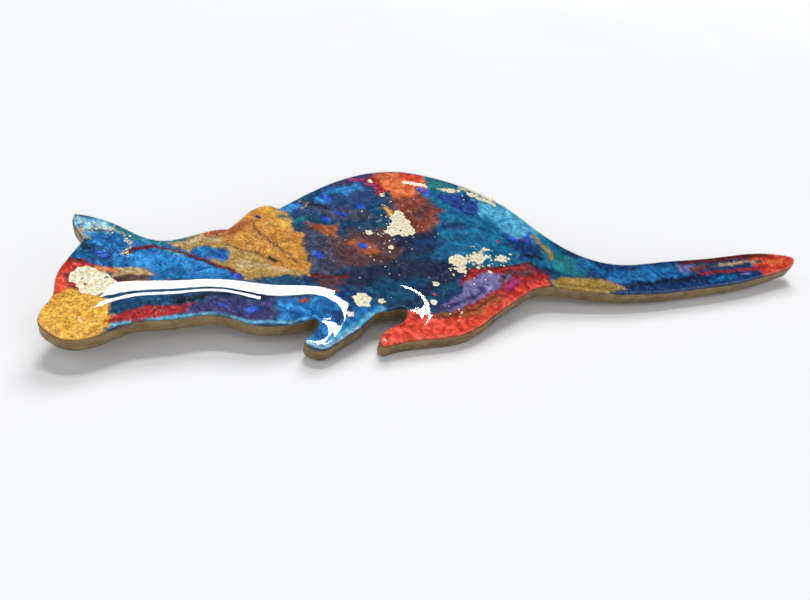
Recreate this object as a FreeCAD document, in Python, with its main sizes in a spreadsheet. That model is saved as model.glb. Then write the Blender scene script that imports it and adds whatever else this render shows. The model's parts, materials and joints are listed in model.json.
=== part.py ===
"""Cat brooch: a cut board with a poured colour face under domed resin, and a bar pin glued to its back.

Everything is drawn in the board's own frame: u runs from the nose to the tail tip, v from the paws up to
the back, and w out of the coloured face, with w = 0 on the board's face. One placement then lays the
whole brooch down on its back, resting on the rear paw, the catch and the hinge.
"""
import FreeCAD, Part
import math
import os

import Sketcher
from FreeCAD import Placement, Rotation, Vector

os.makedirs("parts", exist_ok=True)
doc = FreeCAD.newDocument("cat_brooch")

# ---------------------------------------------------------------- driving dimensions, millimetres
SIZES = {
    "board_thick": 2.0,
    "enamel_thick": 0.3,
    "leaf_thick": 0.05,
    "dome_thick": 1.1,
    "dome_rim_thick": 0.6,
    "dome_crown_inset": 1.2,
    "crown_step": 1.2,
    "glue_thick": 0.35,
    "glue_margin": 0.5,
    "bar_long": 45.0,
    "bar_wide": 5.0,
    "bar_thick": 0.7,
    "bar_middle": -14.0,
    "bar_height": 19.0,
    "bar_hole_radius": 0.95,
    "bar_hole_pitch": 12.0,
    "button_radius": 1.35,
    "button_thick": 0.3,
    "hinge_place": 5.0,
    "hinge_drop": 2.4,
    "ear_gap": 2.0,
    "ear_thick": 0.6,
    "ear_radius": 1.3,
    "rivet_radius": 0.6,
    "rivet_head_radius": 1.05,
    "rivet_head_thick": 0.4,
    "eye_radius": 1.1,
    "eye_wide": 1.7,
    "eye_play": 0.05,
    "root_radius": 0.75,
    "root_start": 0.8,
    "root_end": 2.0,
    "stem_radius": 0.45,
    "stem_long": 34.0,
    "point_long": 8.6,
    "point_radius": 0.08,
    "catch_place": -33.0,
    "catch_long": 5.0,
    "catch_radius": 2.4,
    "catch_wall": 0.45,
    "catch_mouth": 1.3,
    "foot_wide": 3.4,
    "foot_thick": 0.45,
    "roller_play": 0.06,
    "roller_slot": 1.2,
    "flange_radius": 2.1,
    "flange_thick": 0.6,
    "flange_gap": 0.12,
    "tab_reach": 3.2,
    "tab_thick": 0.8,
    "tab_angle": 45.0,
}

sheet = doc.addObject("Spreadsheet::Sheet", "sizes")
for row, (alias, value) in enumerate(SIZES.items(), start=1):
    sheet.set(f"A{row}", alias)
    sheet.set(f"B{row}", str(value))
    sheet.setAlias(f"B{row}", alias)
doc.recompute()

size = {alias: float(sheet.get(alias)) for alias in SIZES}


# ---------------------------------------------------------------- outlines on the face, (u, v)
# Each run is a smooth curve through its points, and the runs meet at the cat's sharp corners.
FACE_RUNS = [
    # ear tip, down the ear to the nape and along the neck
    [(-56.0, 27.2), (-53.4, 26.4), (-50.0, 24.3), (-47.6, 22.4), (-45.0, 21.4), (-41.0, 22.15), (-36.0, 23.15)],
    # the shoulder's hump
    [(-36.0, 23.15), (-34.0, 25.1), (-32.2, 26.85), (-30.0, 27.85), (-28.05, 27.15)],
    # back, rump and the upper edge of the tail
    [(-28.05, 27.15), (-24.0, 29.75), (-19.0, 32.6), (-13.5, 34.65), (-7.0, 35.25), (-2.0, 33.95),
     (4.0, 30.85), (9.0, 26.4), (13.0, 20.2), (17.0, 15.3), (23.0, 12.2), (32.0, 12.0), (43.0, 12.2),
     (53.0, 12.65), (57.6, 12.0)],
    # tail tip
    [(57.6, 12.0), (60.0, 10.9), (58.0, 8.9)],
    # lower edge of the tail, back of the thigh and sole of the rear paw
    [(58.0, 8.9), (53.0, 7.75), (45.0, 6.35), (37.0, 5.8), (24.0, 5.65), (17.0, 6.75), (12.0, 8.05), (9.0, 8.5),
     (5.0, 7.0), (-1.0, 3.7), (-5.9, 1.15), (-12.0, 0.7), (-18.3, 0.0)],
    # toes of the rear paw, up to the notch behind the front leg
    [(-18.3, 0.0), (-18.85, 1.1), (-17.8, 2.6), (-15.6, 3.65), (-13.7, 5.5)],
    [(-13.7, 5.5), (-13.95, 6.3), (-15.0, 6.3), (-16.6, 6.1)],
    # back of the front leg and its paw
    [(-16.6, 6.1), (-18.6, 5.45), (-20.6, 3.6), (-24.0, 1.7), (-26.6, 0.4), (-28.1, 0.95), (-28.8, 2.2)],
    # front of the front leg
    [(-28.8, 2.2), (-27.4, 3.4), (-26.45, 4.9), (-26.6, 5.85)],
    # belly, throat and chin
    [(-26.6, 5.85), (-30.5, 5.05), (-34.5, 5.45), (-39.5, 7.7), (-44.5, 7.4), (-49.5, 7.35), (-53.0, 5.9),
     (-56.0, 5.3), (-58.9, 6.8)],
    # nose and brow
    [(-58.9, 6.8), (-60.0, 9.9), (-58.6, 12.6), (-58.3, 15.4), (-57.0, 18.6), (-55.0, 22.0)],
    # front of the ear
    [(-55.0, 22.0), (-55.6, 23.8), (-56.3, 25.9), (-56.0, 27.2)],
]
REAR_PAW_SOLE = (-18.3, 0.0)

LEAF_CHEEK = [
    [(-56.8, 15.7), (-56.0, 16.7), (-55.0, 17.1), (-53.6, 16.8), (-51.6, 15.0), (-50.7, 13.4), (-53.7, 12.0),
     (-55.1, 12.6), (-55.8, 14.0), (-56.6, 14.6)],
]
LEAF_FLANK = [
    [(-9.3, 26.3), (-8.5, 24.0), (-7.9, 20.7), (-8.9, 20.3), (-12.0, 20.5), (-13.4, 20.9), (-12.3, 22.0),
     (-11.4, 23.1), (-11.3, 24.8)],
]
LEAF_HAUNCH = [
    [(-4.6, 14.6), (-3.6, 15.8), (-2.0, 15.9), (-1.2, 14.9), (-2.1, 13.7), (-3.8, 13.5)],
    [(-0.8, 14.2), (-0.4, 15.9), (1.1, 15.7), (1.5, 14.4), (0.4, 13.9)],
    [(3.0, 14.4), (3.6, 15.3), (5.0, 15.2), (4.9, 14.0), (3.7, 13.8)],
    [(-3.9, 12.5), (-3.4, 13.1), (-2.3, 12.6), (-2.7, 11.8)],
]
LEAF_BACK_EDGE = [
    [(3.4, 30.2), (5.2, 29.1), (7.2, 27.2), (7.9, 26.0), (6.6, 26.6), (5.0, 28.1), (3.3, 29.3)],
    [(-1.6, 30.6), (0.5, 30.9), (2.6, 30.3), (2.3, 29.5), (0.2, 29.9)],
]
# Small flakes: middle u, middle v, reach. Each is a five-sided crumb.
CRUMBS = [
    (-19.5, 8.3, 1.5),
    (-21.9, 6.0, 0.6),
    (-16.9, 7.8, 0.6),
    (-12.8, 18.0, 0.5),
    (-15.4, 21.3, 0.6),
    (-12.3, 32.9, 0.5),
    (-11.2, 29.5, 0.5),
    (-9.4, 6.9, 0.6),
    (-8.0, 10.4, 0.6),
    (2.1, 16.7, 0.5),
]
CRUMB_SIDES = 5


# ---------------------------------------------------------------- helpers
def origin_plane(body, role):
    """The body's own origin plane with this role."""
    return next(plane for plane in body.Origin.OriginFeatures if plane.Role == role)


def bind(feature, **expressions):
    """Bind properties of a feature to the sheet; a double underscore stands for a dot."""
    for name, expression in expressions.items():
        feature.setExpression(name.replace("__", "."), expression)


def in_sheet(expression):
    """The expression with each alias read from the sheet."""
    words = expression.replace("(", "( ").replace(")", " )").split()
    return " ".join(f"sizes.{word}" if word in SIZES else word for word in words)


def sketch_on(body, name, role, offset):
    """A sketch on one of the body's origin planes, moved off it by an expression."""
    sketch = body.newObject("Sketcher::SketchObject", name)
    sketch.AttachmentSupport = [(origin_plane(body, role), "")]
    sketch.MapMode = "FlatFace"
    bind(sketch, AttachmentOffset__Base__z=in_sheet(offset))
    return sketch


def smooth_runs(runs):
    """A smooth curve through the points of each run."""
    curves = []
    for run in runs:
        curve = Part.BSplineCurve()
        curve.interpolate([Vector(u, v, 0) for u, v in run])
        curves.append(curve)
    return curves


def add_runs(sketch, runs):
    """Draw the outline, one smooth curve for each run."""
    for curve in smooth_runs(runs):
        sketch.addGeometry(curve, False)


def add_polygon(sketch, points):
    """Draw a closed polygon."""
    for start, end in zip(points, points[1:] + points[:1]):
        sketch.addGeometry(Part.LineSegment(Vector(*start, 0), Vector(*end, 0)), False)


def add_strip(sketch, long_name, wide_name, margin=0.0):
    """Draw the bar's outline, a strip with round ends, grown by a margin."""
    reach = size[wide_name] / 2 + margin
    half = size[long_name] / 2 + margin - reach
    middle = Vector(size["bar_middle"], size["bar_height"], 0)
    ends = [middle + Vector(half, 0, 0), middle - Vector(half, 0, 0)]
    up = Vector(0, reach, 0)
    for end, side in zip(ends, (1, -1)):
        outermost = end + Vector(side * reach, 0, 0)
        sketch.addGeometry(Part.Arc(end + up, outermost, end - up), False)
    for edge in (up, -up):
        sketch.addGeometry(Part.LineSegment(ends[0] + edge, ends[1] + edge), False)


def pad(body, sketch, length, reversed_side=False, midplane=False):
    """Pad a sketch by an expression."""
    feature = body.newObject("PartDesign::Pad", f"{sketch.Name}_pad")
    feature.Profile = sketch
    feature.Reversed = reversed_side
    feature.Midplane = midplane
    bind(feature, Length=in_sheet(length))
    sketch.Visibility = False
    doc.recompute()
    return feature


def pocket_through(body, sketch):
    """Cut a sketch right through the body and check that material went."""
    before = body.Shape.Volume
    feature = body.newObject("PartDesign::Pocket", f"{sketch.Name}_pocket")
    feature.Profile = sketch
    feature.Type = "ThroughAll"
    feature.Midplane = True
    doc.recompute()
    assert body.Shape.Volume < before, f"{sketch.Name} cuts nothing"
    return feature


def extrusion(name, sketch, length):
    """A straight prism on a free-standing sketch or offset outline."""
    feature = doc.addObject("Part::Extrusion", name)
    feature.Base = sketch
    feature.DirMode = "Custom"
    feature.Dir = Vector(0, 0, 1)
    feature.Solid = True
    bind(feature, LengthFwd=in_sheet(length))
    return feature


def cylinder(name, radius, height, u, v, w, along):
    """A cylinder that starts at (u, v, w), each given as an expression, and runs along a direction."""
    feature = doc.addObject("Part::Cylinder", name)
    feature.Placement.Rotation = Rotation(Vector(0, 0, 1), along)
    bind(feature, Radius=in_sheet(radius), Height=in_sheet(height))
    place(feature, u, v, w)
    return feature


def box(name, long, wide, high, u, v, w):
    """A box whose low corner is at (u, v, w)."""
    feature = doc.addObject("Part::Box", name)
    bind(feature, Length=in_sheet(long), Width=in_sheet(wide), Height=in_sheet(high))
    place(feature, u, v, w)
    return feature


def place(feature, u, v, w):
    """Put a feature at a point given by expressions."""
    bind(
        feature,
        Placement__Base__x=in_sheet(u),
        Placement__Base__y=in_sheet(v),
        Placement__Base__z=in_sheet(w),
    )


def fuse(name, *shapes):
    """Join shapes into one solid."""
    feature = doc.addObject("Part::MultiFuse", name)
    feature.Shapes = list(shapes)
    feature.Refine = True
    return feature


def cut(name, base, tool):
    """Take one shape away from another."""
    feature = doc.addObject("Part::Cut", name)
    feature.Base = base
    feature.Tool = tool
    feature.Refine = True
    return feature


ALONG_U = Vector(1, 0, 0)
ALONG_V = Vector(0, 1, 0)
ALONG_W = Vector(0, 0, 1)
TO_THE_NOSE = Vector(-1, 0, 0)

# Depths below the face, as expressions in w.
BAR_TOP = "0 - board_thick - glue_thick"
BAR_FACE = "0 - board_thick - glue_thick - bar_thick"
PIN_AXIS = "0 - board_thick - glue_thick - bar_thick - hinge_drop"


# ---------------------------------------------------------------- the board and its face
def make_backing_plate():
    """The cat, cut from flat board."""
    body = doc.addObject("PartDesign::Body", "backing_plate")
    outline = sketch_on(body, "cat_outline", "XY_Plane", "0 - board_thick")
    add_runs(outline, FACE_RUNS)
    pad(body, outline, "board_thick")
    return body


def face_outline(name, start):
    """The cat's outline as a free-standing sketch, at a height given by an expression."""
    outline = doc.addObject("Sketcher::SketchObject", f"{name}_outline")
    add_runs(outline, FACE_RUNS)
    place(outline, "0", "0", start)
    return outline


def make_enamel_layer():
    """The poured colour, over the whole face."""
    return extrusion("enamel_layer", face_outline("enamel", "0"), "enamel_thick")


def make_leaf(name, pieces):
    """Metal leaf laid on the colour: one thin prism for each piece."""
    outline = doc.addObject("Sketcher::SketchObject", f"{name}_outline")
    for piece in pieces:
        add_polygon(outline, piece)
    place(outline, "0", "0", "enamel_thick")
    return extrusion(name, outline, "leaf_thick")


def make_leaf_bed(leaf):
    """The space that a leaf takes up in the resin, which stays in the board's frame."""
    return extrusion(f"{leaf.Name}_bed", leaf.Base, "leaf_thick")


def crumb(middle_u, middle_v, reach):
    """A five-sided flake, turned a little differently wherever it lies."""
    turn = middle_u + middle_v
    corners = []
    for side in range(CRUMB_SIDES):
        angle = turn + 2 * math.pi * side / CRUMB_SIDES
        corners.append((middle_u + reach * math.cos(angle), middle_v + reach * math.sin(angle)))
    return corners


def crown_outline(start):
    """The cat's outline drawn in from the rim, in short straight steps."""
    stepped = doc.addObject("Sketcher::SketchObject", "stepped_outline")
    corners = []
    for curve in smooth_runs(FACE_RUNS):
        steps = max(2, round(curve.length() / size["crown_step"]))
        corners += [(point.x, point.y) for point in curve.discretize(Number=steps + 1)[:-1]]
    add_polygon(stepped, corners)
    place(stepped, "0", "0", start)
    crown = doc.addObject("Part::Offset2D", "crown_edge")
    crown.Source = stepped
    crown.Join = "Arc"
    bind(crown, Value=in_sheet("0 - dome_crown_inset"))
    return crown


def make_resin_dome(leaves):
    """Clear resin: a thin rim to the board's edge and a higher crown, with the leaf bedded in its underside."""
    rim = extrusion("dome_rim", face_outline("dome", "enamel_thick"), "dome_rim_thick")
    crown = extrusion("dome_crown", crown_outline("enamel_thick"), "dome_thick")
    beds = doc.addObject("Part::Compound", "leaf_beds")
    beds.Links = [make_leaf_bed(leaf) for leaf in leaves]
    return cut("resin_dome", fuse("dome_blank", rim, crown), beds)


# ---------------------------------------------------------------- the finding on the back
def hole_places():
    """Middles of the bar's three holes, along u."""
    return [size["bar_middle"] + step * size["bar_hole_pitch"] for step in (-1, 0, 1)]


def make_bar_base():
    """Stamped strip with three holes and two ears turned up at the tail end."""
    body = doc.addObject("PartDesign::Body", "bar_base")
    strip = sketch_on(body, "strip", "XY_Plane", BAR_FACE)
    add_strip(strip, "bar_long", "bar_wide")
    pad(body, strip, "bar_thick")
    holes = sketch_on(body, "holes", "XY_Plane", BAR_FACE)
    for place_u in hole_places():
        middle = Vector(place_u, size["bar_height"], 0)
        holes.addGeometry(Part.Circle(middle, Vector(0, 0, 1), size["bar_hole_radius"]), False)
    pocket_through(body, holes)
    face = -size["board_thick"] - size["glue_thick"] - size["bar_thick"]
    axis = face - size["hinge_drop"]
    reach = size["ear_radius"]
    for number, side in enumerate(("-", "+"), start=1):
        # the XZ plane looks along -v, so a step up in v is a negative offset
        ear_middle = f"0 - ( bar_height {side} ( ear_gap + ear_thick ) / 2 )"
        ear = sketch_on(body, f"ear_{number}", "XZ_Plane", ear_middle)
        near, far = size["hinge_place"] - reach, size["hinge_place"] + reach
        top = face + size["bar_thick"] / 2
        pivot = Vector(size["hinge_place"], axis, 0)
        ear.addGeometry(Part.LineSegment(Vector(far, axis, 0), Vector(far, top, 0)), False)
        ear.addGeometry(Part.LineSegment(Vector(far, top, 0), Vector(near, top, 0)), False)
        ear.addGeometry(Part.LineSegment(Vector(near, top, 0), Vector(near, axis, 0)), False)
        ear.addGeometry(Part.Arc(Vector(near, axis, 0), pivot - Vector(0, reach, 0), Vector(far, axis, 0)), False)
        ear.addGeometry(Part.Circle(pivot, Vector(0, 0, 1), size["rivet_radius"]), False)
        pad(body, ear, "ear_thick", midplane=True)
    return body


def make_glue_bed():
    """Epoxy under the strip, squeezed up through its holes into low buttons."""
    body = doc.addObject("PartDesign::Body", "glue_bed")
    bed = sketch_on(body, "bed", "XY_Plane", BAR_TOP)
    add_strip(bed, "bar_long", "bar_wide", size["glue_margin"])
    pad(body, bed, "glue_thick")
    plugs = sketch_on(body, "plugs", "XY_Plane", BAR_TOP)
    buttons = sketch_on(body, "buttons", "XY_Plane", BAR_FACE)
    for place_u in hole_places():
        middle = Vector(place_u, size["bar_height"], 0)
        plugs.addGeometry(Part.Circle(middle, Vector(0, 0, 1), size["bar_hole_radius"]), False)
        buttons.addGeometry(Part.Circle(middle, Vector(0, 0, 1), size["button_radius"]), False)
    pad(body, plugs, "bar_thick", reversed_side=True)
    pad(body, buttons, "button_thick", reversed_side=True)
    return body


def make_hinge_rivet():
    """Rivet through both ears, with a head on each side."""
    low_side = "bar_height - ear_gap / 2 - ear_thick"
    high_side = "bar_height + ear_gap / 2 + ear_thick"
    shank = cylinder(
        "rivet_shank", "rivet_radius", "ear_gap + 2 * ear_thick", "hinge_place", low_side, PIN_AXIS, ALONG_V
    )
    heads = [
        cylinder(name, "rivet_head_radius", "rivet_head_thick", "hinge_place", start, PIN_AXIS, ALONG_V)
        for name, start in (("rivet_head", f"{low_side} - rivet_head_thick"), ("rivet_tail", high_side))
    ]
    return fuse("hinge_rivet", shank, *heads)


def taper(name, wide_end, narrow_end, length, from_rivet):
    """A cone on the pin's axis that starts at a distance from the rivet and runs to the nose."""
    cone = doc.addObject("Part::Cone", name)
    cone.Placement.Rotation = Rotation(ALONG_W, TO_THE_NOSE)
    bind(cone, Radius1=in_sheet(wide_end), Radius2=in_sheet(narrow_end), Height=in_sheet(length))
    place(cone, f"hinge_place - {from_rivet}", "bar_height", PIN_AXIS)
    return cone


def make_pin_stem():
    """Sprung steel pin: a flattened eye on the rivet, a root that tapers, a straight stem and a long point."""
    eye_start = "bar_height - eye_wide / 2"
    eye = cylinder("eye", "eye_radius", "eye_wide", "hinge_place", eye_start, PIN_AXIS, ALONG_V)
    stem = cylinder("stem", "stem_radius", "stem_long", "hinge_place", "bar_height", PIN_AXIS, TO_THE_NOSE)
    root = taper("root", "root_radius", "stem_radius", "root_end - root_start", "root_start")
    point = taper("point", "stem_radius", "point_radius", "point_long", "stem_long")
    bore = cylinder(
        "eye_bore", "rivet_radius + eye_play", "eye_wide", "hinge_place", eye_start, PIN_AXIS, ALONG_V
    )
    return cut("pin_stem", fuse("pin_blank", eye, root, stem, point), bore)


def make_catch_housing():
    """Strip curled into an open tube, standing on a flat foot, with its mouth away from the board."""
    start = "catch_place - catch_long / 2"
    curl = cylinder("curl", "catch_radius", "catch_long", start, "bar_height", PIN_AXIS, ALONG_U)
    foot = box(
        "foot",
        "catch_long",
        "foot_wide",
        "foot_thick",
        start,
        "bar_height - foot_wide / 2",
        f"{BAR_FACE} - foot_thick",
    )
    bore = cylinder(
        "curl_bore", "catch_radius - catch_wall", "catch_long", start, "bar_height", PIN_AXIS, ALONG_U
    )
    mouth = box(
        "mouth",
        "catch_long",
        "catch_mouth",
        "catch_radius",
        start,
        "bar_height - catch_mouth / 2",
        f"{PIN_AXIS} - catch_radius",
    )
    return cut("catch_housing", fuse("catch_blank", curl, foot), fuse("catch_space", bore, mouth))


def make_safety_roller():
    """Slotted barrel that turns in the curl, held by a flange at each end, with a thumb tab."""
    start = "catch_place - catch_long / 2 - flange_gap"
    barrel = cylinder(
        "barrel",
        "catch_radius - catch_wall - roller_play",
        "catch_long + 2 * flange_gap",
        start,
        "bar_height",
        PIN_AXIS,
        ALONG_U,
    )
    flange_starts = {
        "nose_flange": f"{start} - flange_thick",
        "tail_flange": "catch_place + catch_long / 2 + flange_gap",
    }
    flanges = [
        cylinder(name, "flange_radius", "flange_thick", flange_start, "bar_height", PIN_AXIS, ALONG_U)
        for name, flange_start in flange_starts.items()
    ]
    # the tab leans from straight out toward the cat's back
    tab = doc.addObject("Part::Box", "thumb_tab")
    bind(
        tab,
        Length=in_sheet("flange_thick"),
        Width=in_sheet("tab_thick"),
        Height=in_sheet("tab_reach"),
    )
    lean = Rotation(ALONG_U, 180 + size["tab_angle"])
    across = lean.multVec(Vector(0, -size["tab_thick"] / 2, 0))
    axis_w = -size["board_thick"] - size["glue_thick"] - size["bar_thick"] - size["hinge_drop"]
    flange_u = size["catch_place"] - size["catch_long"] / 2 - size["flange_gap"] - size["flange_thick"]
    tab.Placement = Placement(Vector(flange_u, size["bar_height"], axis_w) + across, lean)
    full_length = "catch_long + 2 * flange_gap + 2 * flange_thick"
    nose_end = flange_starts["nose_flange"]
    groove_root = cylinder(
        "groove_root", "roller_slot / 2", full_length, nose_end, "bar_height", PIN_AXIS, ALONG_U
    )
    groove = box(
        "groove",
        full_length,
        "roller_slot",
        "tab_reach",
        nose_end,
        "bar_height - roller_slot / 2",
        f"{PIN_AXIS} - tab_reach",
    )
    return cut("safety_roller", fuse("roller_blank", barrel, *flanges, tab), fuse("groove_space", groove_root, groove))


# ---------------------------------------------------------------- resting pose and output
def resting_placement(parts):
    """Lay the brooch on its rear paw, catch and hinge, centred over its own middle."""
    back = -size["board_thick"]
    axis_w = back - size["glue_thick"] - size["bar_thick"] - size["hinge_drop"]
    paw = Vector(*REAR_PAW_SOLE, back)
    lean = math.atan2(size["catch_radius"] - axis_w + back, size["bar_height"])
    down = Vector(0, -math.sin(lean), -math.cos(lean))
    catch = Vector(size["catch_place"], size["bar_height"], axis_w) + down * size["catch_radius"]
    lower_ear = size["bar_height"] - size["ear_gap"] / 2 - size["ear_thick"]
    hinge = Vector(size["hinge_place"], lower_ear, axis_w - size["ear_radius"])
    upright = (hinge - paw).cross(catch - paw).normalize()
    tilt = Placement(Vector(), Rotation(upright, ALONG_W))
    tilted = Part.makeCompound([part.Shape.transformed(tilt.toMatrix(), copy=True) for part in parts])
    bounds = tilted.optimalBoundingBox()
    middle = bounds.Center
    return Placement(Vector(-middle.x, -middle.y, -bounds.ZMin), tilt.Rotation)


leaf_parts = [
    make_leaf("leaf_cheek", LEAF_CHEEK),
    make_leaf("leaf_flank", LEAF_FLANK),
    make_leaf("leaf_haunch", LEAF_HAUNCH),
    make_leaf("leaf_back_edge", LEAF_BACK_EDGE),
    make_leaf("leaf_crumbs", [crumb(*flake) for flake in CRUMBS]),
]
subparts = [
    make_backing_plate(),
    make_enamel_layer(),
    *leaf_parts,
    make_resin_dome(leaf_parts),
    make_glue_bed(),
    make_bar_base(),
    make_hinge_rivet(),
    make_pin_stem(),
    make_catch_housing(),
    make_safety_roller(),
]
doc.recompute()
rest = resting_placement(subparts)
for part in subparts:
    part.Label = part.Name
    part.Placement = rest
doc.recompute()

for item in doc.Objects:
    assert not {"Invalid", "Error"} & set(item.State), f"{item.Name} failed: {item.State}"
for part in subparts:
    assert not part.Shape.isNull() and part.Shape.isValid(), f"{part.Name} has no valid shape"
    part.Shape.exportStep(f"parts/{part.Label}.step")
    print(f"{part.Label}: {len(part.Shape.Solids)} solid(s), {part.Shape.Volume:.3f} mm3")

axis_depth = -size["board_thick"] - size["glue_thick"] - size["bar_thick"] - size["hinge_drop"]
for name, point in {
    "hinge axis": Vector(size["hinge_place"], size["bar_height"], axis_depth),
    "catch axis": Vector(size["catch_place"], size["bar_height"], axis_depth),
    "board face": Vector(0, 0, 0),
}.items():
    print(name, [round(value, 6) for value in rest.multVec(point)])
for name, way in {"along u": ALONG_U, "along v": ALONG_V, "along w": ALONG_W}.items():
    print(name, [round(value, 9) for value in rest.Rotation.multVec(way)])
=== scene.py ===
"""Looks of the cat brooch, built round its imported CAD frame.

Points are written in the board's own frame, in millimetres: u from the nose to the tail tip, v from the
paws up to the back, w out of the coloured face, with w = 0 on the board's face. The matrix `board` takes
them to the scene, in metres.
"""
import json
import math
import random

import bpy
import numpy as np
from mathutils import Matrix, Vector, geometry, kdtree, noise


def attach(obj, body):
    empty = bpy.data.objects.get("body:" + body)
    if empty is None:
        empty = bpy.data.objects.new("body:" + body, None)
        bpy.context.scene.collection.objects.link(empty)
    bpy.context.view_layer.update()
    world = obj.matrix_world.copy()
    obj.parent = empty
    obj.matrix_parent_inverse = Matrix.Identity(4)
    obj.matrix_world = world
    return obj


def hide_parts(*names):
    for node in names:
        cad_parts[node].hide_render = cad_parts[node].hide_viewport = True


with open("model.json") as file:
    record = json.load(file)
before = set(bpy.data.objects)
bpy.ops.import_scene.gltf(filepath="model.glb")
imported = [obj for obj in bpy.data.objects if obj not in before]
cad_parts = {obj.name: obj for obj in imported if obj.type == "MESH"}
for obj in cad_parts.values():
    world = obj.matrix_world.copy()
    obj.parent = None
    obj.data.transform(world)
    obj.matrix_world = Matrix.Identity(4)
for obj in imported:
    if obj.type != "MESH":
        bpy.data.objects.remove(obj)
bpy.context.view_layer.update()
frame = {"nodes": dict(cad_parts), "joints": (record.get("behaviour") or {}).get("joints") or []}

# ---------------------------------------------------------------- the board's frame
# where part.py has the middle of the hinge, in the board's millimetres
HINGE_ON_BOARD = Vector((5.0, 19.0, -5.45))
METRES = 0.001

joints = {joint["name"]: joint for joint in frame["joints"]}
to_back = -Vector(joints["pin_hinge"]["axis"])
to_tail = -Vector(joints["roller_turn"]["axis"])
outward = to_tail.cross(to_back)
board_axes = Matrix((to_tail, to_back, outward)).transposed()
origin = Vector(joints["pin_hinge"]["pos_m"]) - board_axes @ (HINGE_ON_BOARD * METRES)
board = Matrix.Translation(origin) @ board_axes.to_4x4() @ Matrix.Scale(METRES, 4)
to_board = board.inverted()

# heights in w, mm
BOARD_BACK = -2.0
COLOUR_TOP = 0.3
LEAF_LOW = 0.31
LEAF_HIGH = 0.36
RESIN_UNDER = 0.24
RESIN_RIM = 0.6
RESIN_CROWN = 1.49

# sizes in the plane of the face, mm
OUTLINE_STEP = 0.3
COLOUR_STEP = 0.24
DOME_STEP = 0.32
LIP = 0.14
RIM_ROUND = 0.28
EASE = 0.12
# Chosen, with RESIN_CROWN, so that the long reflection lies where the photograph has it.
MENISCUS_LENGTH = 4.0
MENISCUS_ROUNDS = 1500

# leaf
SHARD_GAPS = 0.02
SHARD_LEAN = 0.22
SHARD_LIFT = 0.35
SHARD_SHRINK = 0.97
SHARD_THICKNESS = 0.012
QUARTER_TURN = 1.57

SMOOTH_BELOW = math.radians(40)
LAMP_DISTANCE = 2.5
NO_POINTS = np.empty((0, 2))


# ---------------------------------------------------------------- mesh helpers
def top_loops(node, height):
    """Closed outlines, as (u, v) arrays, of a CAD node's flat top at a height."""
    mesh = frame["nodes"][node].data
    places = [to_board @ vertex.co for vertex in mesh.vertices]
    keys = [(round(p.x, 3), round(p.y, 3)) if abs(p.z - height) < 0.01 else None for p in places]
    uses = {}
    for polygon in mesh.polygons:
        corners = [keys[index] for index in polygon.vertices]
        if None in corners:
            continue
        for start, end in zip(corners, corners[1:] + corners[:1]):
            if (end, start) in uses:
                del uses[(end, start)]
            elif start != end:
                uses[(start, end)] = True
    following = {start: end for start, end in uses}
    loops = []
    while following:
        start, point = following.popitem()
        loop = [start]
        while point != start and point in following:
            loop.append(point)
            point = following.pop(point)
        loops.append(np.array(loop))
    return loops


def evenly(loop, step):
    """The closed loop again, with its points a step apart."""
    closed = np.vstack([loop, loop[:1]])
    along = np.concatenate([[0], np.cumsum(np.linalg.norm(np.diff(closed, axis=0), axis=1))])
    stops = np.linspace(0, along[-1], max(8, round(along[-1] / step)), endpoint=False)
    return np.column_stack([np.interp(stops, along, closed[:, axis]) for axis in (0, 1)])


def inside(points, loop):
    """Which points lie inside the closed loop."""
    found = np.zeros(len(points), bool)
    for (u1, v1), (u2, v2) in zip(loop, np.roll(loop, -1, axis=0)):
        spans = (v1 > points[:, 1]) != (v2 > points[:, 1])
        crossing = (u2 - u1) * (points[:, 1] - v1) / ((v2 - v1) or 1e-9) + u1
        found ^= spans & (points[:, 0] < crossing)
    return found


def distances(points, loop):
    """Distance from each point to the nearest of a loop's points."""
    tree = kdtree.KDTree(len(loop))
    for index, (u, v) in enumerate(loop):
        tree.insert((u, v, 0), index)
    tree.balance()
    return np.array([tree.find((u, v, 0))[2] for u, v in points])


def lattice(loop, step):
    """Points of a triangular lattice inside the loop, kept off its edge."""
    low, high = loop.min(0), loop.max(0)
    rows = np.arange(low[1], high[1], step * math.sqrt(3) / 2)
    points = []
    for number, v in enumerate(rows):
        shift = step / 2 * (number % 2)
        points += [(u, v) for u in np.arange(low[0] + shift, high[0], step)]
    points = np.array(points)
    points = points[inside(points, loop)]
    return points[distances(points, loop) > step * 0.55]


def triangulate(loop, inner):
    """Points and triangles of the area inside a loop; the loop's points come first."""
    points = np.vstack([loop, inner]) if len(inner) else loop
    count = len(loop)
    edges = [(index, (index + 1) % count) for index in range(count)]
    result = geometry.delaunay_2d_cdt([Vector(p) for p in points], edges, [], 1, 1e-6)
    places = np.array([tuple(p) for p in result[0]])
    faces = [tuple(face) for face in result[2]]
    return places, faces, [list(source) for source in result[3]]


def slab(loop, inner, top, rings):
    """A closed solid on an outline. top is a number, or a function of points, triangles and rim.

    rings are the (inset, w) loops of the side wall, from the top down to the edge of the underside.
    """
    places, faces, sources = triangulate(loop, inner)
    order = {}
    for index, source in enumerate(sources):
        for original in source:
            order.setdefault(original, index)
    rim = [order[index] for index in range(len(loop))]
    heights = top(places, faces, rim) if callable(top) else np.full(len(places), top)
    vertices = [np.column_stack([places, heights])]
    total = len(places)
    polygons = [tuple(face) for face in faces]
    normals = loop_normals(loop)
    previous = rim
    for inset, w in rings:
        ring = loop - normals * inset
        vertices.append(np.column_stack([ring, np.full(len(ring), w)]))
        current = list(range(total, total + len(ring)))
        total += len(ring)
        for index in range(len(ring)):
            after = (index + 1) % len(ring)
            polygons.append((previous[index], current[index], current[after], previous[after]))
        previous = current
    _, base_faces, base_sources = triangulate(vertices[-1][:, :2], NO_POINTS)
    back = [previous[source[0]] for source in base_sources]
    polygons += [tuple(back[corner] for corner in reversed(face)) for face in base_faces]
    return np.vstack(vertices), polygons


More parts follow.
